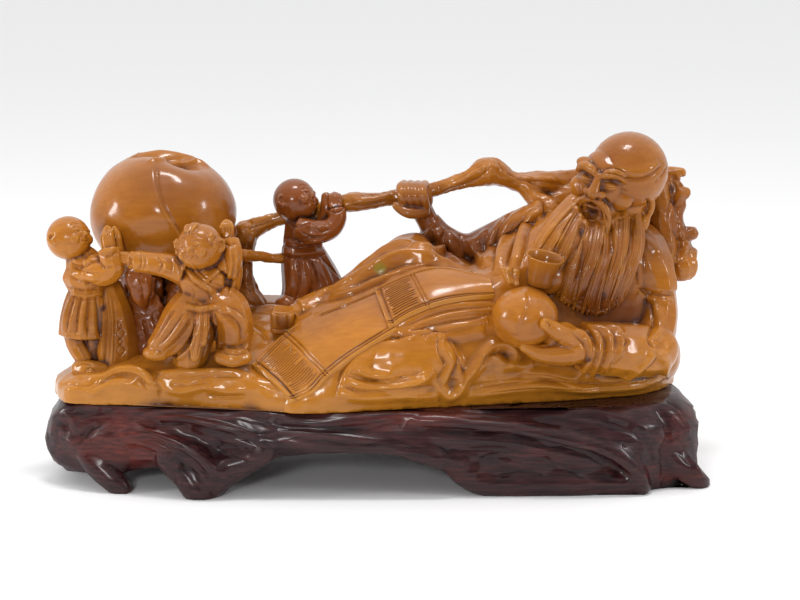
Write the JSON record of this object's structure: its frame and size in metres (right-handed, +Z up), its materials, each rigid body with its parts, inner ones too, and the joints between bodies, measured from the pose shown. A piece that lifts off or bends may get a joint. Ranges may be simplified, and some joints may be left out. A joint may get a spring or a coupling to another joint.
{
  "type": "carved wood sage figure on a root stand",
  "caption": "Carved boxwood group of a reclining bearded sage, boys and a giant peach, resting on a carved dark rosewood root stand.",
  "frame": {"origin": "on the table, under the middle of the whole work's box", "axes": "+Z up, +X to the viewer's right along the length, +Y away from the viewer"},
  "size_m": [0.3008, 0.1159, 0.157],
  "materials": {
    "boxwood": "polished, waxed",
    "rosewood": "semi-gloss lacquer"
  },
  "bodies": {
    "root": {"sage_carving": "boxwood", "stand": "rosewood"}
  },
  "joints": []
}
